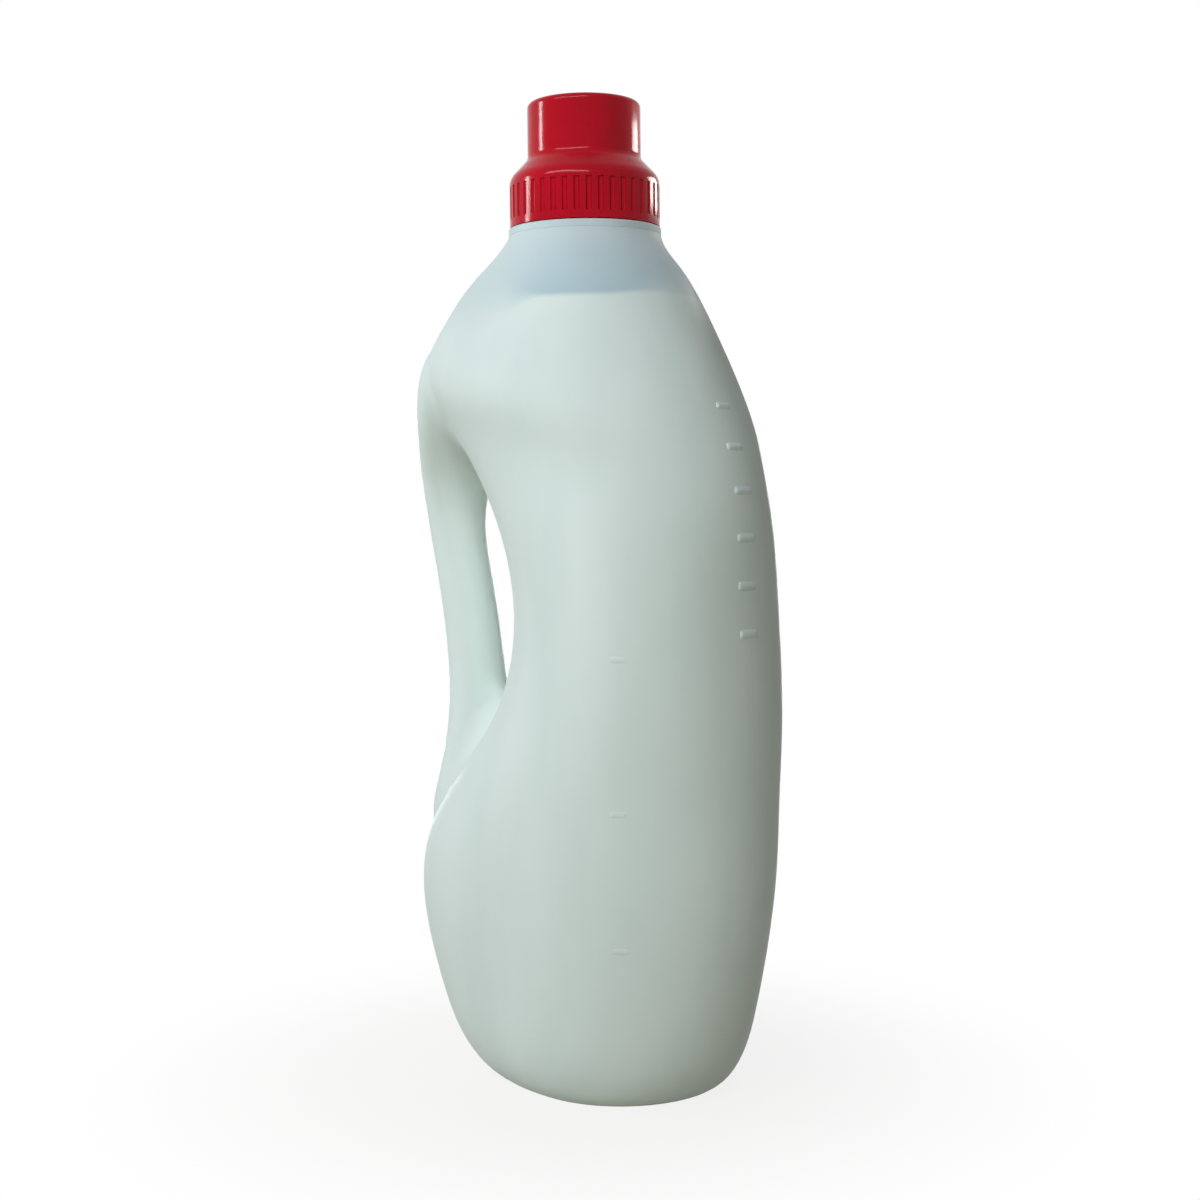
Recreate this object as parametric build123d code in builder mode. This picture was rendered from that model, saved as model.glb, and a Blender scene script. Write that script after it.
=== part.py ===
"""Fabric softener bottle: blow-moulded handle bottle, screw cap with a cup, liner ring and liquid fill.

Frame: +Z up from the standing ring, X along the broad side with the handle at -X and the narrow front edge
at +X, Y through the depth. The origin is in the base plane, under the middle of the overall box.
Units are mm.
"""
from build123d import *
import os
from typing import NamedTuple

os.makedirs("parts", exist_ok=True)

# Body sizes that its sections take their shares of
BODY_HEIGHT = 261.0
HALF_BREADTH = 64.0
HALF_DEPTH = 42.0
CREST_SHARE = 0.60
NECK_CREST = 0.50

# Neck, collar and the fit of the cap
NECK_RADIUS = 19.2
NECK_WALL = 2.0
NECK_LENGTH = 13.0
NECK_EDGE = 0.5
COLLAR_HEIGHT = 2.2
COLLAR_LIP = 0.4
COLLAR_STEP = 0.1
ROOT_DROP = 4.0
ROOT_SWELL = 3.4
COLLAR_EDGE = 0.4
THREAD_ROOM = 1.8
SEAL_THICKNESS = 1.2
SEAL_ROOM = 0.6

# Cap
SKIRT_WALL = 2.2
CAP_GAP = 0.3
SHELF_RISE = 1.0
FLARE_HEIGHT = 6.0
CUP_STEP = 1.7
CUP_WALL = 1.5
CUP_HEIGHT = 17.4
SKIRT_ROUND = 5.0
FLARE_ROUND = 3.0
CUP_EDGE = 1.7
FLUTES = 40
FLUTE_RADIUS = 0.9
FLUTE_DEPTH = 0.6
RIM_BAND = 2.4
FLUTE_LENGTH = 10.0

# Bottle wall, foot, handle blend and fill
WALL = 1.0
FOOT_RING = 7.0
PUSH_UP = 5.0
PUSH_UP_SLOPE = 11.0
LIQUID_GAP = 0.3
FILL_DROP = 21.0

# Places and radii that follow from the sizes above
NECK_X = 0.0225 * HALF_BREADTH
HANDLE_BLEND = 0.14 * HALF_BREADTH
FILL_HEIGHT = BODY_HEIGHT - FILL_DROP
NECK_BORE = NECK_RADIUS - NECK_WALL
CAP_BORE = NECK_RADIUS + THREAD_ROOM
SKIRT_RADIUS = CAP_BORE + SKIRT_WALL
COLLAR_RADIUS = SKIRT_RADIUS + COLLAR_LIP
ROOT_RADIUS = COLLAR_RADIUS - COLLAR_STEP
CUP_RADIUS = NECK_RADIUS - CUP_STEP
CUP_BORE = CUP_RADIUS - CUP_WALL


class Ring(NamedTuple):
    """Oval section of the body. Edges are measured from the neck axis, and tilt lowers the front edge."""

    height: float
    back: float
    front: float
    depth: float
    tilt: float = 0.0
    crest: float = CREST_SHARE


class Grip(NamedTuple):
    """Section of the handle, square to its run. Its centre is measured from the neck axis and the foot."""

    x: float
    z: float
    half_width: float
    half_depth: float


def share_ring(height, back, front, depth, tilt=0.0):
    """A body section from shares of the body's height, half breadth and half depth."""
    return Ring(height * BODY_HEIGHT, back * HALF_BREADTH, front * HALF_BREADTH, depth * HALF_DEPTH, tilt)


def share_grip(x, z, half_width, half_depth):
    """A handle section from the same shares."""
    return Grip(x * HALF_BREADTH, z * BODY_HEIGHT, half_width * HALF_BREADTH, half_depth * HALF_DEPTH)


# Body sections from the foot up: belly, pinched grip, shoulder and the swelling under the collar
FOOT = share_ring(height=0.0, back=-0.539, front=0.672, depth=0.738)
NECK_ROOT = Ring(
    height=BODY_HEIGHT,
    back=-ROOT_RADIUS,
    front=ROOT_RADIUS,
    depth=ROOT_RADIUS,
    crest=NECK_CREST,
)
NECK_SWELL = Ring(
    height=BODY_HEIGHT - ROOT_DROP,
    back=-ROOT_RADIUS - ROOT_SWELL,
    front=ROOT_RADIUS + 0.53 * ROOT_SWELL,
    depth=ROOT_RADIUS + 0.38 * ROOT_SWELL,
    crest=NECK_CREST,
)
RINGS = (
    FOOT,
    share_ring(height=0.0172, back=-0.672, front=0.75, depth=0.829),
    share_ring(height=0.0996, back=-0.9, front=0.881, depth=0.938),
    share_ring(height=0.2605, back=-0.991, front=0.994, depth=1.0),
    share_ring(height=0.3372, back=-0.797, front=1.0, depth=0.995),
    share_ring(height=0.4291, back=-0.461, front=1.0, depth=0.971),
    share_ring(height=0.5709, back=-0.309, front=0.975, depth=0.94, tilt=2.0),
    share_ring(height=0.6743, back=-0.484, front=0.972, depth=0.914, tilt=6.0),
    share_ring(height=0.757, back=-0.80, front=0.945, depth=0.903, tilt=9.0),
    share_ring(height=0.797, back=-0.935, front=0.893, depth=0.945, tilt=9.0),
    share_ring(height=0.8927, back=-0.852, front=0.672, depth=0.786, tilt=3.0),
    share_ring(height=0.9579, back=-0.617, front=0.484, depth=0.643),
    NECK_SWELL,
    NECK_ROOT,
)

# Handle sections from inside the shoulder to inside the belly
GRIPS = (
    share_grip(x=-0.57, z=0.8736, half_width=0.205, half_depth=0.56),
    share_grip(x=-0.73, z=0.8199, half_width=0.190, half_depth=0.62),
    share_grip(x=-0.84, z=0.7586, half_width=0.158, half_depth=0.47),
    share_grip(x=-0.917, z=0.682, half_width=0.129, half_depth=0.275),
    share_grip(x=-0.848, z=0.5785, half_width=0.125, half_depth=0.233),
    share_grip(x=-0.786, z=0.4866, half_width=0.128, half_depth=0.243),
    share_grip(x=-0.758, z=0.4138, half_width=0.145, half_depth=0.286),
    share_grip(x=-0.778, z=0.3448, half_width=0.169, half_depth=0.357),
    share_grip(x=-0.758, z=0.2759, half_width=0.195, half_depth=0.405),
)

# Heights that follow from the collar up
COLLAR_TOP = NECK_ROOT.height + COLLAR_HEIGHT
NECK_TOP = COLLAR_TOP + NECK_LENGTH
SHELF = NECK_TOP + SEAL_THICKNESS
CAP_RIM = COLLAR_TOP + CAP_GAP
FLARE_BASE = SHELF + SHELF_RISE
FLARE_TOP = FLARE_BASE + FLARE_HEIGHT
CAP_TOP = FLARE_TOP + CUP_HEIGHT

NECK_AXIS = Axis((NECK_X, 0, 0), (0, 0, 1))
NECK_PROFILE = Plane((NECK_X, 0, 0), x_dir=(1, 0, 0), z_dir=(0, -1, 0))


def level(height):
    """Horizontal plane with its origin on the neck axis."""
    return Plane((NECK_X, 0, height))


def outer_corner(sketch, height):
    """The outermost corner of a half profile at one height."""
    return sketch.vertices().group_by(lambda v: abs(v.Y - height))[0].sort_by(Axis.X)[-1]


def oval_loft(rings):
    """Loft through egg-shaped sections: in each, a front and a back half-ellipse share the crest line."""
    with BuildPart() as form:
        for ring in rings:
            crest = ring.back + ring.crest * (ring.front - ring.back)
            with BuildSketch(level(ring.height).rotated((0, ring.tilt, 0))):
                with BuildLine():
                    EllipticalCenterArc((crest, 0), ring.front - crest, ring.depth, -90, arc_size=180)
                    EllipticalCenterArc((crest, 0), crest - ring.back, ring.depth, 90, arc_size=180)
                make_face()
        loft()
    return form.part


def drawn_in(ring, inset, height):
    """A section drawn in by an inset all round, at a height of its own."""
    return ring._replace(
        height=height,
        back=ring.back + inset,
        front=ring.front - inset,
        depth=ring.depth - inset,
    )


def body_form(inset):
    """The body, drawn in by an inset on every side."""
    return oval_loft([drawn_in(ring, inset, max(ring.height, inset)) for ring in RINGS])


def push_up_form(grow):
    """The raised middle of the base, inside the standing ring, swelled by a growth on every side."""
    low = drawn_in(FOOT, FOOT_RING - grow, 0)
    high = drawn_in(FOOT, FOOT_RING + PUSH_UP_SLOPE - grow, PUSH_UP + grow)
    return oval_loft([low, high])


def handle_form(inset):
    """The handle's rod with its flared roots, drawn in by an inset."""
    with BuildPart() as rod:
        for i, grip in enumerate(GRIPS):
            before = GRIPS[max(i - 1, 0)]
            after = GRIPS[min(i + 1, len(GRIPS) - 1)]
            along = (after.x - before.x, 0, after.z - before.z)
            with BuildSketch(Plane((NECK_X + grip.x, 0, grip.z), x_dir=(0, 1, 0), z_dir=along)):
                Ellipse(grip.half_depth - inset, grip.half_width - inset)
        loft()
    return rod.part


def inside_form(inset):
    """What the bottle can hold below its neck, drawn in from the outer faces by an inset."""
    with BuildPart() as room:
        add(body_form(inset))
        add(handle_form(inset))
        add(push_up_form(inset), mode=Mode.SUBTRACT)
    return room.part


# Bottle: body and handle blended together, collar and neck on top, all hollowed to the wall
with BuildPart() as bottle:
    add(body_form(0))
    add(handle_form(0))
    fillet(bottle.edges(Select.NEW), HANDLE_BLEND)
    with BuildSketch(NECK_PROFILE) as neck_section:
        with BuildLine():
            Polyline(
                (0, NECK_ROOT.height),
                (COLLAR_RADIUS, NECK_ROOT.height),
                (COLLAR_RADIUS, COLLAR_TOP),
                (NECK_RADIUS, COLLAR_TOP),
                (NECK_RADIUS, NECK_TOP),
                (0, NECK_TOP),
                close=True,
            )
        make_face()
        fillet(outer_corner(neck_section, COLLAR_TOP), COLLAR_EDGE)
        fillet(outer_corner(neck_section, NECK_TOP), NECK_EDGE)
    revolve(axis=NECK_AXIS)
    add(push_up_form(0), mode=Mode.SUBTRACT)
    add(inside_form(WALL), mode=Mode.SUBTRACT)
    with BuildSketch(level(NECK_ROOT.height)):
        Circle(NECK_BORE)
    extrude(amount=NECK_TOP - NECK_ROOT.height, mode=Mode.SUBTRACT)
bottle.part.label = "bottle"
export_step(bottle.part, "parts/bottle.step")

# Liquid fill, level under the neck
with BuildPart() as softener:
    add(inside_form(WALL + LIQUID_GAP))
    split(bisect_by=level(FILL_HEIGHT), keep=Keep.BOTTOM)
softener.part.label = "softener"
export_step(softener.part, "parts/softener.step")

# Cap: fluted skirt, flare and measuring cup in one moulding
with BuildPart() as cap:
    with BuildSketch(NECK_PROFILE) as cap_section:
        with BuildLine():
            Polyline(
                (CAP_BORE, CAP_RIM),
                (SKIRT_RADIUS, CAP_RIM),
                (SKIRT_RADIUS, FLARE_BASE),
                (CUP_RADIUS, FLARE_TOP),
                (CUP_RADIUS, CAP_TOP),
                (0, CAP_TOP),
                (0, CAP_TOP - CUP_WALL),
                (CUP_BORE, CAP_TOP - CUP_WALL),
                (CUP_BORE, SHELF),
                (CAP_BORE, SHELF),
                close=True,
            )
        make_face()
        fillet(outer_corner(cap_section, FLARE_BASE), SKIRT_ROUND)
        fillet(outer_corner(cap_section, FLARE_TOP), FLARE_ROUND)
        fillet(outer_corner(cap_section, CAP_TOP), CUP_EDGE)
    revolve(axis=NECK_AXIS)
    with BuildSketch(level(CAP_RIM + RIM_BAND)):
        with PolarLocations(SKIRT_RADIUS + FLUTE_RADIUS - FLUTE_DEPTH, FLUTES):
            Circle(FLUTE_RADIUS)
    extrude(amount=FLUTE_LENGTH, mode=Mode.SUBTRACT)
cap.part.label = "cap"
export_step(cap.part, "parts/cap.step")

# Liner ring between the neck's rim and the cap's shelf
with BuildPart() as sealing_ring:
    with BuildSketch(level(NECK_TOP)):
        Circle(CAP_BORE - SEAL_ROOM)
        Circle(CUP_BORE, mode=Mode.SUBTRACT)
    extrude(amount=SEAL_THICKNESS)
sealing_ring.part.label = "sealing_ring"
export_step(sealing_ring.part, "parts/sealing_ring.step")
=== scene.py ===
# %% [markdown]
# # A fabric softener bottle in its studio
# The real object is a blow-moulded handle bottle of milky polyethylene, filled with softener and closed by
# a red screw cap whose top is a measuring cup. The CAD model already holds the true shapes, so this lesson
# keeps those meshes, gives them real finishes, and adds the small moulded details: the screw threads, the
# raised level marks, the vent marks on the broad sides and the weld seam under the base. Everything is in
# metres, in the frame of the CAD model, with +Z up, the handle at -X and the narrow front edge at +X.

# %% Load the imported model
import math

import bpy
from mathutils import Matrix, Vector


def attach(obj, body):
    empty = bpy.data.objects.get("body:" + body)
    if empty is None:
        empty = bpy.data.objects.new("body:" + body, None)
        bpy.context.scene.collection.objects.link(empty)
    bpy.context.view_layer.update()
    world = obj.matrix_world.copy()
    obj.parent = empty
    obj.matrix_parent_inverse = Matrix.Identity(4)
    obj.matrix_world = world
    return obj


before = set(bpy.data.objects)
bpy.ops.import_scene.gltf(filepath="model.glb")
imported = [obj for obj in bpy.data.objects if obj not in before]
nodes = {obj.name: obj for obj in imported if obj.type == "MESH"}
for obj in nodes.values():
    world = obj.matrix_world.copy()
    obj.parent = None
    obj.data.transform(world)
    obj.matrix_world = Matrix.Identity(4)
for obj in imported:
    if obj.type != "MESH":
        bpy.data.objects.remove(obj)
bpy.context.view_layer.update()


# %% [markdown]
# ## Sizes and colours
# A few sizes repeat what the part is built from: the place of the neck's axis, the height of the liquid and
# the top of the collar. Colours are picked as sRGB hex values, the way a screen shows them, and Blender's
# shaders want linear light, so one function converts them.

# %% Sizes and the colour function
MM = 0.001
NECK_X = 1.44 * MM
FILL_LEVEL = 240.0 * MM
COLLAR_TOP = 263.2 * MM


def srgb(code):
    """Linear RGBA from an sRGB hex code such as '#A8001A'."""
    channels = [int(code[i:i + 2], 16) / 255 for i in (1, 3, 5)]
    linear = [c / 12.92 if c <= 0.04045 else ((c + 0.055) / 1.055) ** 2.4 for c in channels]
    return (*linear, 1.0)


print("neck axis at x =", NECK_X, "m, liquid up to", FILL_LEVEL, "m")


# %% [markdown]
# ## Building materials from nodes
# A material is a small graph: texture nodes make patterns, maths nodes shape them, and a Principled shader
# turns the result into a surface. Adding a node by hand takes three steps: make it, set it up, link it. One
# function does all three, and a second one starts a material with its shader and the coordinates that every
# pattern reads. These are Object coordinates, in metres, so a pattern has a real size and stays on the
# object from any side.

# %% One node function and a fresh material
def add_node(tree, kind, inputs=None, stops=(), **settings):
    """Add a shader node, set its properties and a ramp's stops, then fill its inputs with values or links."""
    made = tree.nodes.new(kind)
    for name, value in settings.items():
        setattr(made, name, value)
    for count, (position, code) in enumerate(stops):
        made.color_ramp.elements[count].position = position
        made.color_ramp.elements[count].color = srgb(code)
    for key, value in (inputs or {}).items():
        if isinstance(value, bpy.types.NodeSocket):
            tree.links.new(value, made.inputs[key])
        else:
            made.inputs[key].default_value = value
    return made


def new_material(name):
    """A node material with a Principled shader, and its object coordinates."""
    material = bpy.data.materials.new(name)
    material.use_nodes = True
    tree = material.node_tree
    shader = tree.nodes["Principled BSDF"]
    place = add_node(tree, "ShaderNodeTexCoord").outputs["Object"]
    return material, tree, shader, place


print("helpers ready")


# %% [markdown]
# ## Milky polyethylene: where the liquid shows
# The bottle is high-density polyethylene, blown against the mould. It is translucent, so the eye sees what
# stands behind the wall: pale and milky where there is liquid, a cooler and darker grey-blue where there is
# air. The wall is only a millimetre thick, and a true volume would be noisy and slow. Instead a mask
# follows the height of each point, with a soft and slightly wavy edge at the fill line, softer towards the
# handle. Along X the mask also holds painted light: towards the handle, the side the light comes from, the
# empty wall is painted part way to the lighter filled tone. At the front edge the empty tone fades out.

# %% Mask of the empty wall, with painted light towards the handle
polyethylene, tree, shader, place = new_material("Blow_moulded_polyethylene")
axes = add_node(tree, "ShaderNodeSeparateXYZ", {"Vector": place})

# The noise stays near its middle, so the fill line wanders by about a millimetre, in waves some 30 mm long.
WAVE_LENGTH = 30.3 * MM
WANDER = 5.0 * MM
wave = add_node(tree, "ShaderNodeTexNoise", {"Vector": place, "Scale": 1 / WAVE_LENGTH, "Detail": 1.0})
wander = add_node(
    tree, "ShaderNodeMath", {0: wave.outputs["Fac"], 1: WANDER, 2: -WANDER / 2}, operation="MULTIPLY_ADD",
)
height = add_node(
    tree, "ShaderNodeMath", {0: axes.outputs["Z"], 1: wander.outputs["Value"]}, operation="ADD",
)
# The edge reaches 1 mm to each side of the line at the front, and 10 mm towards the handle.
soft = add_node(
    tree, "ShaderNodeMapRange",
    {"Value": axes.outputs["X"], "From Min": NECK_X - 14 * MM, "From Max": NECK_X + 10 * MM,
     "To Min": 10 * MM, "To Max": 1 * MM},
    interpolation_type="SMOOTHSTEP",
)
low = add_node(tree, "ShaderNodeMath", {0: FILL_LEVEL, 1: soft.outputs["Result"]}, operation="SUBTRACT")
high = add_node(tree, "ShaderNodeMath", {0: FILL_LEVEL, 1: soft.outputs["Result"]}, operation="ADD")
above = add_node(
    tree, "ShaderNodeMapRange",
    {"Value": height.outputs["Value"], "From Min": low.outputs["Value"], "From Max": high.outputs["Value"]},
    interpolation_type="SMOOTHSTEP",
)
# Painted light makes the empty wall lighter towards the lit handle side; at the front edge it fades out.
painted_light_handle_side = add_node(
    tree, "ShaderNodeMapRange",
    {"Value": axes.outputs["X"], "From Min": NECK_X - 25 * MM, "From Max": NECK_X + 15 * MM,
     "To Min": 0.4, "To Max": 1.0},
    interpolation_type="SMOOTHSTEP",
)
front_edge_fade = add_node(
    tree, "ShaderNodeMapRange",
    {"Value": axes.outputs["X"], "From Min": NECK_X + 31 * MM, "From Max": NECK_X + 41 * MM,
     "To Min": 1.0, "To Max": 0.0},
    interpolation_type="SMOOTHSTEP",
)
painted_light_and_front_fade = add_node(
    tree, "ShaderNodeMath", {0: painted_light_handle_side.outputs["Result"], 1: front_edge_fade.outputs["Result"]},
    operation="MULTIPLY",
)
# The empty wall's share, with the painted light towards the handle already in it.
empty = add_node(
    tree, "ShaderNodeMath", {0: above.outputs["Result"], 1: painted_light_and_front_fade.outputs["Value"]},
    operation="MULTIPLY",
)
print("mask edge at", FILL_LEVEL, "m")


# %% [markdown]
# ## Milky polyethylene: its colour
# Blown polyethylene is never one flat white. The wall varies in thickness, which shows as faint cloudy
# streaks that run up the bottle. Two colour ramps give the tones, one for the filled wall and one for the
# empty wall, and the mask mixes them. The empty wall is darkest just above the liquid and clears towards
# the collar.

# %% Tones of the wall
# The streaks are about 22 mm wide and three times as tall.
STREAK_WIDTH = 22.2 * MM
stretch = add_node(tree, "ShaderNodeMapping", {"Vector": place, "Scale": (1.0, 1.0, 0.3)})
cloud = add_node(
    tree, "ShaderNodeTexNoise",
    {"Vector": stretch.outputs["Vector"], "Scale": 1 / STREAK_WIDTH, "Detail": 3.0},
)
filled_tone = add_node(
    tree, "ShaderNodeValToRGB", {"Fac": cloud.outputs["Fac"]},
    stops=((0.3, "#D3DFD9"), (0.7, "#DBE5DF")),
)
rise = add_node(
    tree, "ShaderNodeMapRange",
    {"Value": axes.outputs["Z"], "From Min": FILL_LEVEL, "From Max": COLLAR_TOP},
)
empty_tone = add_node(
    tree, "ShaderNodeValToRGB", {"Fac": rise.outputs["Result"]},
    stops=((0.0, "#AEC4C9"), (0.8, "#C6D4D6")),
)
tone = add_node(
    tree, "ShaderNodeMix",
    {0: empty.outputs["Value"], 6: filled_tone.outputs["Color"], 7: empty_tone.outputs["Color"]},
    data_type="RGBA",
)
tree.links.new(tone.outputs[2], shader.inputs["Base Color"])
print("wall tones mixed by the mask")


# %% [markdown]
# ## Milky polyethylene: its skin
# The mould is blasted so that the plastic lets go of it, and the bottle takes on that fine grit: a satin
# sheen, not a gloss. Where the two halves of the mould met, a hairline runs all round the bottle. Both are
# far too small to model, so they go into a bump, which tilts the shading without moving the surface. The
# specular level is set far below that of real polyethylene, because the white room would otherwise wash out
# the dark right edge.

# %% Grit, sheen and parting line
# The grit is drawn at 0.8 mm, coarser than life, so that it shows in the render.
GRIT = 0.8333 * MM
grit = add_node(tree, "ShaderNodeTexNoise", {"Vector": place, "Scale": 1 / GRIT, "Detail": 2.0})
sheen = add_node(
    tree, "ShaderNodeMapRange", {"Value": cloud.outputs["Fac"], "To Min": 0.40, "To Max": 0.50},
)
tree.links.new(sheen.outputs["Result"], shader.inputs["Roughness"])

# The parting line is a raised hairline at y = 0, about 0.5 mm wide with its soft sides.
aside = add_node(tree, "ShaderNodeMath", {0: axes.outputs["Y"]}, operation="ABSOLUTE")
seam = add_node(
    tree, "ShaderNodeMapRange",
    {"Value": aside.outputs["Value"], "From Min": 0.1 * MM, "From Max": 0.4 * MM,
     "To Min": 1.0, "To Max": 0.0},
    interpolation_type="SMOOTHSTEP",
)
relief = add_node(
    tree, "ShaderNodeMath",
    {0: grit.outputs["Fac"], 1: 0.12, 2: seam.outputs["Result"]}, operation="MULTIPLY_ADD",
)
skin = add_node(
    tree, "ShaderNodeBump", {"Height": relief.outputs["Value"], "Strength": 0.35, "Distance": 0.1 * MM},
)
tree.links.new(skin.outputs["Normal"], shader.inputs["Normal"])
shader.inputs["IOR"].default_value = 1.51
shader.inputs["Specular IOR Level"].default_value = 0.04
print("material", polyethylene.name)


# %% [markdown]
# ## Glossy polypropylene
# The cap is injection-moulded polypropylene in a deep red, from a polished mould: clear, sharp highlights
# and only a trace of ripple where the plastic shrank. The colour drifts slightly along the flow. A low
# roughness does most of the work here, because a glossy surface is read by what it reflects. The specular
# level is set below that of real polypropylene: the white room would otherwise lie over the red as a grey
# veil, and the lamps are bright enough to show anyway.

# %% Cap material
polypropylene, tree, shader, place = new_material("Injection_moulded_polypropylene")
# The colour drifts over about 14 mm.
FLOW_LENGTH = 14.286 * MM
flow = add_node(tree, "ShaderNodeTexNoise", {"Vector": place, "Scale": 1 / FLOW_LENGTH, "Detail": 2.0})
red = add_node(
    tree, "ShaderNodeValToRGB", {"Fac": flow.outputs["Fac"]},
    stops=((0.3, "#AE0018"), (0.7, "#BA001D")),
)
tree.links.new(red.outputs["Color"], shader.inputs["Base Color"])

# Shrink ripples are about 4 mm long.
RIPPLE_LENGTH = 3.846 * MM
ripple = add_node(tree, "ShaderNodeTexNoise", {"Vector": place, "Scale": 1 / RIPPLE_LENGTH, "Detail": 1.0})
gloss = add_node(tree, "ShaderNodeMapRange", {"Value": ripple.outputs["Fac"], "To Min": 0.10, "To Max": 0.18})
tree.links.new(gloss.outputs["Result"], shader.inputs["Roughness"])
dimple = add_node(
    tree, "ShaderNodeBump", {"Height": ripple.outputs["Fac"], "Strength": 0.08, "Distance": 0.4 * MM},
)
tree.links.new(dimple.outputs["Normal"], shader.inputs["Normal"])
shader.inputs["IOR"].default_value = 1.49
shader.inputs["Specular IOR Level"].default_value = 0.12
print("material", polypropylene.name)


# %% [markdown]
# ## Liner foam and liquid
# The sealing ring is a foamed polyethylene liner: matte, off-white, with a fine cell texture. A Voronoi
# pattern looks like foam, because both are packed cells. The softener is an opaque milky emulsion with a
# wet surface and a slow swirl. Both are mostly hidden, and show when the cap is lifted.

# %% Liner and liquid materials
# Foam cells are drawn at about 0.45 mm, about twice their real size.
FOAM_CELL = 0.4545 * MM
foam, tree, shader, place = new_material("Foamed_polyethylene_liner")
cells = add_node(tree, "ShaderNodeTexVoronoi", {"Vector": place, "Scale": 1 / FOAM_CELL})
pale = add_node(
    tree, "ShaderNodeValToRGB", {"Fac": cells.outputs["Distance"]},
    stops=((0.0, "#DFE2DE"), (1.0, "#EEF0EC")),
)
tree.links.new(pale.outputs["Color"], shader.inputs["Base Color"])
pores = add_node(
    tree, "ShaderNodeBump", {"Height": cells.outputs["Distance"], "Strength": 0.3, "Distance": 0.1 * MM},
)
tree.links.new(pores.outputs["Normal"], shader.inputs["Normal"])
shader.inputs["Roughness"].default_value = 0.75

# Swirls in the liquid are about 17 mm across.
SWIRL_WIDTH = 16.667 * MM
emulsion, tree, shader, place = new_material("Milky_softener_emulsion")
swirl = add_node(
    tree, "ShaderNodeTexNoise",
    {"Vector": place, "Scale": 1 / SWIRL_WIDTH, "Detail": 3.0, "Distortion": 1.5},
)
milk = add_node(
    tree, "ShaderNodeValToRGB", {"Fac": swirl.outputs["Fac"]},
    stops=((0.0, "#DCE6E0"), (1.0, "#E8EFEA")),
)
tree.links.new(milk.outputs["Color"], shader.inputs["Base Color"])
shader.inputs["Roughness"].default_value = 0.08
shader.inputs["IOR"].default_value = 1.34
print("materials", foam.name, emulsion.name)


# %% [markdown]
# ## Finishes on the CAD nodes
# The four CAD meshes keep their shapes. Each one has a material slot, and a better material goes into it.

# %% Give the CAD nodes their finishes
for name, material in (
    ("bottle", polyethylene), ("softener", emulsion), ("cap", polypropylene), ("sealing_ring", foam),
):
    slots = nodes[name].material_slots
    for slot in slots:
        slot.material = material
    print(name, "has", len(slots), "slot and", len(nodes[name].data.polygons), "faces")


# %% [markdown]
# ## Helpers for new pieces
# Operators act on whatever is selected, so each new piece starts with nothing selected, and parts of it are
# picked in code by their place. A finished piece sits at the origin with its place in its mesh, has its
# finish, and rides on the body that carries it.

# %% Select and finish
def start_fresh():
    """Nothing is selected before a new piece is added."""
    bpy.ops.object.select_all(action="DESELECT")


def edit_select(piece, keep):
    """In edit mode, select the vertices whose place passes a test."""
    bpy.ops.object.mode_set(mode="OBJECT")
    for polygon in piece.data.polygons:
        polygon.select = False
    for edge in piece.data.edges:
        edge.select = False
    for vertex in piece.data.vertices:
        vertex.select = keep(vertex.co)
    bpy.ops.object.mode_set(mode="EDIT")
    bpy.ops.mesh.select_mode(type="VERT")


def finish_piece(piece, name, material, body, angle=40):
    """Name a finished piece, smooth it, give it its finish and let it ride on its body."""
    bpy.ops.object.transform_apply(location=True, rotation=True, scale=True)
    bpy.ops.object.shade_smooth_by_angle(angle=math.radians(angle))
    piece.name = name
    piece.data.name = name
    piece.data.materials.clear()
    piece.data.materials.append(material)
    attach(piece, body)
    print(name, "has", len(piece.data.polygons), "faces")


# %% [markdown]
# ## Screw threads
# A right-hand thread climbs the neck, and its partner runs round inside the cap's skirt, half a lead away,
# so the two stay interleaved while the cap turns and lifts. Each is a trapezoid bead swept along a helix.
# It could be drawn as a bevelled curve, but the Screw modifier gives flat flanks from one small profile: a
# plane is stood on edge, its crest is narrowed, the modifier sweeps it, and the ends are filled and pressed
# into the wall, as a moulded thread runs out.

# %% Thread helper
LEAD = 4.2 * MM
BEAD_FOOT = 1.9 * MM
CREST_SHARE = 0.45
STEPS_PER_TURN = 72
WELD = 0.01 * MM
# The last 30 degrees at each end run out into the wall, in steps of the sweep.
RUN_OUT_STEPS = 7
RUN_OUT_STEP = math.radians(360 / STEPS_PER_TURN)
# A step's points lie within these of its place on the helix: a chord on the unit circle, and a height.
NEAR_CHORD = 0.02
NEAR_HEIGHT = 1.2 * MM


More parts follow.
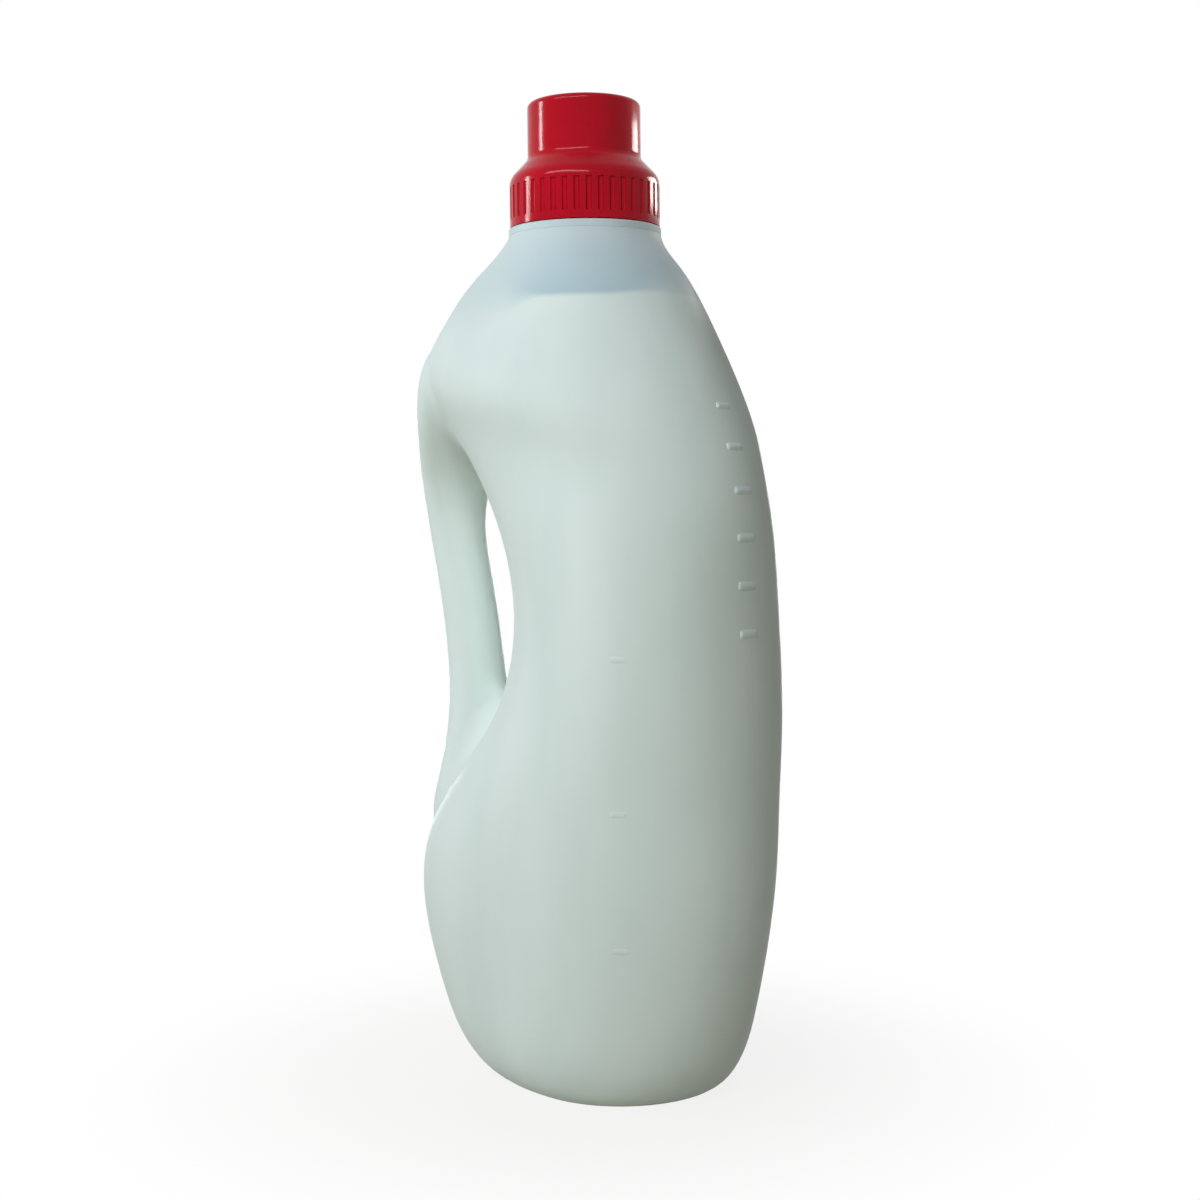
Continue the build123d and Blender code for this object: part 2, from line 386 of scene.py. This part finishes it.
def make_thread(name, root, crest, base_z, turns, material, body):
    """A helical bead between a root radius, sunk in its wall, and a crest radius."""
    middle = (crest + root) / 2
    outward = crest > root
    full_turn = turns * 2 * math.pi
    start_fresh()
    bpy.ops.mesh.primitive_plane_add(size=1.0, location=(0, 0, 0))
    bead = bpy.context.object
    bpy.ops.object.mode_set(mode="EDIT")
    bpy.ops.mesh.select_all(action="SELECT")
    bpy.ops.transform.rotate(value=math.pi / 2, orient_axis="X", center_override=(0, 0, 0))
    bpy.ops.transform.resize(value=(abs(crest - root), 1.0, BEAD_FOOT))
    bpy.ops.transform.translate(value=(middle, 0, base_z))
    edit_select(bead, lambda co: (co.x > middle) == outward)
    bpy.ops.transform.resize(value=(1.0, 1.0, CREST_SHARE), center_override=(crest, 0, base_z))
    bpy.ops.object.mode_set(mode="OBJECT")
    sweep = bead.modifiers.new("Helix", "SCREW")
    sweep.angle = full_turn
    sweep.screw_offset = turns * LEAD
    sweep.steps = round(turns * STEPS_PER_TURN)
    sweep.render_steps = sweep.steps
    sweep.use_merge_vertices = False
    bpy.ops.object.modifier_apply(modifier=sweep.name)
    bpy.ops.object.mode_set(mode="EDIT")
    bpy.ops.mesh.select_all(action="SELECT")
    bpy.ops.mesh.remove_doubles(threshold=WELD)
    bpy.ops.mesh.select_all(action="SELECT")
    bpy.ops.mesh.fill_holes(sides=6)
    bpy.ops.mesh.select_all(action="SELECT")
    bpy.ops.mesh.normals_make_consistent(inside=False)
    for step in range(RUN_OUT_STEPS):
        turned = RUN_OUT_STEP * step
        press = (1 - step / RUN_OUT_STEPS) ** 2
        for at in (turned, full_turn - turned):
            where = Vector((math.cos(at), math.sin(at), 0))
            level = base_z + LEAD * at / (2 * math.pi)
            edit_select(
                bead,
                lambda co: (co.xy.normalized() - where.xy).length < NEAR_CHORD
                and abs(co.z - level) < NEAR_HEIGHT
                and (co.xy.length > middle) == outward,
            )
            bpy.ops.transform.translate(value=where * (root - crest) * press)
    bpy.ops.object.mode_set(mode="OBJECT")
    bead.location = (NECK_X, 0, 0)
    finish_piece(bead, name, material, body)


print("lead", LEAD, "m per turn")


# %% [markdown]
# ## The two threads
# The neck's thread has one and a half turns, from just over the collar. The cap's thread has one and a
# quarter.

# %% Neck and cap threads
make_thread(
    "neck_thread", root=19.0 * MM, crest=20.35 * MM, base_z=266.3 * MM, turns=1.5,
    material=polyethylene, body="bottle",
)
make_thread(
    "cap_thread", root=21.2 * MM, crest=19.85 * MM, base_z=268.4 * MM, turns=1.25,
    material=polypropylene, body="cap",
)


# %% [markdown]
# ## Raised level marks
# The narrow front edge of the bottle carries a column of small moulded marks, 14 mm apart, like the
# contents scale on many bottles of this kind. Each is a soft bar with sloping sides. It starts as a small
# grid in front of the wall, and a Shrinkwrap modifier lays it just under the curved surface. Two insets
# with a little depth raise it in steps, its underside is closed inside the wall, and Subdivision Surface
# rounds the steps into a low dome.

# %% Bar helper and the level marks
SUNK = 0.2 * MM
# Each step moves in by a share of the bar's short side and climbs by a share of its height.
FOOT_IN, FOOT_UP = 0.25, 0.6
TOP_IN, TOP_UP = 0.15, 0.4


def make_bar(name, centre, facing, width, tall, raised):
    """A soft closed bar laid on the bottle's wall, around a point near the wall and its outward direction."""
    start_fresh()
    bpy.ops.mesh.primitive_grid_add(x_subdivisions=4, y_subdivisions=2, size=1.0, location=(0, 0, 0))
    bar = bpy.context.object
    bar.scale = (width, tall, 1.0)
    bpy.ops.object.transform_apply(location=False, rotation=False, scale=True)
    bar.rotation_euler = Vector(facing).to_track_quat("Z", "Y").to_euler()
    bar.location = centre
    bpy.ops.object.transform_apply(location=True, rotation=True, scale=True)
    wrap = bar.modifiers.new("Wrap", "SHRINKWRAP")
    wrap.target = nodes["bottle"]
    wrap.wrap_method = "NEAREST_SURFACEPOINT"
    wrap.wrap_mode = "ABOVE_SURFACE"
    wrap.offset = -SUNK
    bpy.ops.object.modifier_apply(modifier=wrap.name)
    side = min(width, tall)
    bpy.ops.object.mode_set(mode="EDIT")
    bpy.ops.mesh.select_all(action="SELECT")
    bpy.ops.mesh.inset(thickness=FOOT_IN * side, depth=SUNK + FOOT_UP * raised)
    bpy.ops.mesh.inset(thickness=TOP_IN * side, depth=TOP_UP * raised)
    bpy.ops.mesh.select_all(action="DESELECT")
    bpy.ops.mesh.select_mode(type="EDGE")
    bpy.ops.mesh.select_non_manifold()
    bpy.ops.mesh.edge_face_add()
    bpy.ops.mesh.select_all(action="SELECT")
    bpy.ops.mesh.normals_make_consistent(inside=False)
    bpy.ops.object.mode_set(mode="OBJECT")
    soften = bar.modifiers.new("Soften", "SUBSURF")
    soften.levels = 3
    soften.render_levels = 3
    bpy.ops.object.modifier_apply(modifier=soften.name)
    finish_piece(bar, name, polyethylene, "bottle", angle=80)


LEVEL_MARKS = 7
LOWEST_MARK = 126.0 * MM
MARK_STEP = 14.0 * MM
FRONT_EDGE = 64.0 * MM
for count in range(LEVEL_MARKS):
    make_bar(
        f"level_mark_{count + 1}", (FRONT_EDGE, 0, LOWEST_MARK + MARK_STEP * count), (1, 0, 0),
        width=9.5 * MM, tall=3.6 * MM, raised=0.55 * MM,
    )


# %% [markdown]
# ## Vent marks
# While the bottle is blown, air leaves the mould through small slotted plugs, and each plug prints a faint
# flat mark on the wall. A column of three shows on the broad side near the front edge. The mould's other
# half has the same, so the column is repeated on the far side. They are made as the level marks are, but
# much lower.

# %% Three vent marks on each side
# Places on the far side in millimetres, and how far the wall there faces the front and the side.
VENT_PLACES = ((44.8, 36.4, 134.0), (43.8, 35.5, 89.6), (42.4, 33.1, 49.4))
VENT_FRONT, VENT_SIDE = 0.48, 0.88
for side_name, side in (("near", -1), ("far", 1)):
    for count, (x, y, z) in enumerate(VENT_PLACES):
        make_bar(
            f"vent_mark_{side_name}_{count + 1}", (x * MM, side * y * MM, z * MM),
            (VENT_FRONT, side * VENT_SIDE, 0.0), width=6.0 * MM, tall=3.0 * MM, raised=0.14 * MM,
        )


# %% [markdown]
# ## Weld seam under the base
# A blown bottle starts as a soft tube, which the closing mould pinches shut at the bottom. The pinch leaves
# a weld seam along the parting line, in the hollow of the base. The same bar helper makes it, long and
# narrow, facing down.

# %% Pinch-off seam
make_bar(
    "pinch_off_seam", (5.0 * MM, 0, 4.8 * MM), (0, 0, -1), width=34.0 * MM, tall=2.4 * MM, raised=0.6 * MM,
)


# %% [markdown]
# ## Floor
# The photograph shows the bottle on pure white. The floor is a pale sheet, and the Light Path node makes it
# white where the camera, a reflection or a clear surface sees it, so no extra light has to fall on the
# bottle. Close round the bottle the white gives way a little to the lit floor, so the contact shadow stays.

# %% Floor
FLOOR_RADIUS = 6.0
SHADOW_INNER, SHADOW_OUTER = 45 * MM, 170 * MM


def background_rays(tree):
    """One for a ray that sees white: from the camera, off gloss or through a clear piece. Else nought."""
    rays = add_node(tree, "ShaderNodeLightPath")
    seen = add_node(
        tree, "ShaderNodeMath", {0: rays.outputs["Is Camera Ray"], 1: rays.outputs["Is Glossy Ray"]},
        operation="MAXIMUM",
    )
    shown = add_node(
        tree, "ShaderNodeMath", {0: seen.outputs["Value"], 1: rays.outputs["Is Transmission Ray"]},
        operation="MAXIMUM",
    )
    return shown.outputs["Value"]


start_fresh()
bpy.ops.mesh.primitive_circle_add(vertices=96, radius=FLOOR_RADIUS, fill_type="NGON", location=(0, 0, 0))
floor = bpy.context.object
floor.name = "studio_floor"
sheet, tree, shader, place = new_material("Pale_studio_floor")
shader.inputs["Base Color"].default_value = srgb("#B6B0A4")
shader.inputs["Roughness"].default_value = 0.9
away = add_node(tree, "ShaderNodeVectorMath", {0: place}, operation="LENGTH")
clear = add_node(
    tree, "ShaderNodeMapRange",
    {"Value": away.outputs["Value"], "From Min": SHADOW_INNER, "From Max": SHADOW_OUTER,
     "To Min": 0.85, "To Max": 1.0},
    interpolation_type="SMOOTHSTEP",
)
white = add_node(
    tree, "ShaderNodeMath", {0: background_rays(tree), 1: clear.outputs["Result"]}, operation="MULTIPLY",
)
glow = add_node(tree, "ShaderNodeEmission", {"Color": srgb("#FFFFFF"), "Strength": 1.0})
both = add_node(
    tree, "ShaderNodeMixShader",
    {0: white.outputs["Value"], 1: shader.outputs["BSDF"], 2: glow.outputs["Emission"]},
)
tree.links.new(both.outputs["Shader"], tree.nodes["Material Output"].inputs["Surface"])
floor.data.materials.append(sheet)
print("floor of radius", FLOOR_RADIUS, "m")


# %% [markdown]
# ## Room
# The world round the bottle is a dim room, light and cool on the left and dark and warm on the right,
# because the photograph's right edge is a dark brown-grey. To the camera, in reflections and through clear
# pieces it is pure white, as the floor is. Left and right are the camera's, so its angle round the bottle
# comes in here.

# %% World
CAMERA_TURN = math.radians(42.0)
ROOM_STRENGTH = 0.045
world = bpy.data.worlds.new("Studio_room")
world.use_nodes = True
bpy.context.scene.world = world
tree = world.node_tree
room = tree.nodes["Background"]
toward = add_node(tree, "ShaderNodeTexCoord").outputs["Generated"]
left_side = (-math.cos(CAMERA_TURN), -math.sin(CAMERA_TURN), 0.0)
lean = add_node(tree, "ShaderNodeVectorMath", {0: toward, 1: left_side}, operation="DOT_PRODUCT")
turn = add_node(
    tree, "ShaderNodeMapRange", {"Value": lean.outputs["Value"], "From Min": -1.0, "From Max": 1.0},
)
walls = add_node(
    tree, "ShaderNodeValToRGB", {"Fac": turn.outputs["Result"]},
    stops=((0.10, "#A0623C"), (0.85, "#AEB6BC")),
)
tree.links.new(walls.outputs["Color"], room.inputs["Color"])
room.inputs["Strength"].default_value = ROOM_STRENGTH
plain = add_node(tree, "ShaderNodeBackground", {"Color": srgb("#FFFFFF"), "Strength": 1.0})
mixed = add_node(
    tree, "ShaderNodeMixShader",
    {0: background_rays(tree), 1: room.outputs["Background"], 2: plain.outputs["Background"]},
)
tree.links.new(mixed.outputs["Shader"], tree.nodes["World Output"].inputs["Surface"])
print("world", world.name)


# %% [markdown]
# ## Light
# The highlights on the cap tell where the light was. A broad soft lamp hangs high on the left front: it
# models the body and draws the thin white arcs on the cap. A window far to the left gives the upright strip
# on the cup's left side, and a small strip close behind on the right gives the one on its right edge. Two
# weak fills stand low, one on the left and one in front, where the cap can't mirror them, and open up the
# handle and the belly. The last lamp stands behind, for the sides that the photograph doesn't show. Angles
# are measured from the camera's own direction, positive to the right.

# %% Lamps
def add_lamp(name, turn, reach, height, size, power, colour, look=0.17):
    """A rectangular area lamp at a distance from the neck's axis, looking at a height on that axis."""
    around = CAMERA_TURN + math.radians(turn)
    data = bpy.data.lights.new(name, "AREA")
    data.shape = "RECTANGLE"
    data.size, data.size_y = size
    data.energy = power
    data.color = srgb(colour)[:3]
    lamp = bpy.data.objects.new(name, data)
    bpy.context.scene.collection.objects.link(lamp)
    lamp.location = (NECK_X + reach * math.sin(around), -reach * math.cos(around), height)
    aim = Vector((NECK_X, 0, look)) - lamp.location
    lamp.rotation_euler = aim.to_track_quat("-Z", "Y").to_euler()
    print(name, "at", [round(c, 2) for c in lamp.location])


# Turn in degrees, distance and height in metres, size in metres, power in watts, colour.
add_lamp("high_front_light", -28, 0.81, 0.76, (1.10, 0.10), 8.0, "#F0F5FF")
add_lamp("left_window", -97, 0.804, 0.447, (0.11, 0.15), 1.9, "#F6FBFF")
add_lamp("left_fill", -108, 1.00, 0.10, (0.60, 0.36), 1.5, "#FAFFFC")
add_lamp("front_fill", 8, 1.00, 0.135, (0.80, 0.30), 1.5, "#F8FFE6")
add_lamp("right_strip", 122, 0.15, 0.308, (0.07, 0.085), 0.32, "#FFFAF4", look=0.54)
add_lamp("back_light", -178, 0.95, 0.14, (0.70, 0.26), 7.0, "#F4F8FF")


# %% [markdown]
# ## Camera
# The camera stands 42 degrees round from the near broad side towards the front edge, a little above the
# middle of the bottle, and looks slightly down. The picture is square, so the lens follows from the focal
# length measured in its pixels, and a small roll and shift match the way the bottle leans and sits in the
# frame.

# %% Camera at the photograph's view
IMAGE_SIDE = 1200.0
FOCAL_PIXELS = 1855.0
SHIFT_PIXELS = 11.3
EYE_REACH = 0.580
EYE_HEIGHT = 0.1775
LOOK_HEIGHT = 0.1483
ROLL = math.radians(-0.58)
data = bpy.data.cameras.new("photo_camera")
data.sensor_width = 36.0
data.lens = data.sensor_width * FOCAL_PIXELS / IMAGE_SIDE
data.shift_x = SHIFT_PIXELS / IMAGE_SIDE
data.clip_start = 0.01
camera = bpy.data.objects.new("photo_camera", data)
bpy.context.scene.collection.objects.link(camera)
eye = Vector((NECK_X + EYE_REACH * math.sin(CAMERA_TURN), -EYE_REACH * math.cos(CAMERA_TURN), EYE_HEIGHT))
target = Vector((NECK_X, 0, LOOK_HEIGHT))
view = (target - eye).to_track_quat("-Z", "Y").to_matrix().to_4x4()
camera.matrix_world = Matrix.Translation(eye) @ view @ Matrix.Rotation(ROLL, 4, "Z")
bpy.context.scene.camera = camera
bpy.context.scene.view_settings.view_transform = "Standard"
print("lens", round(data.lens, 2), "mm")
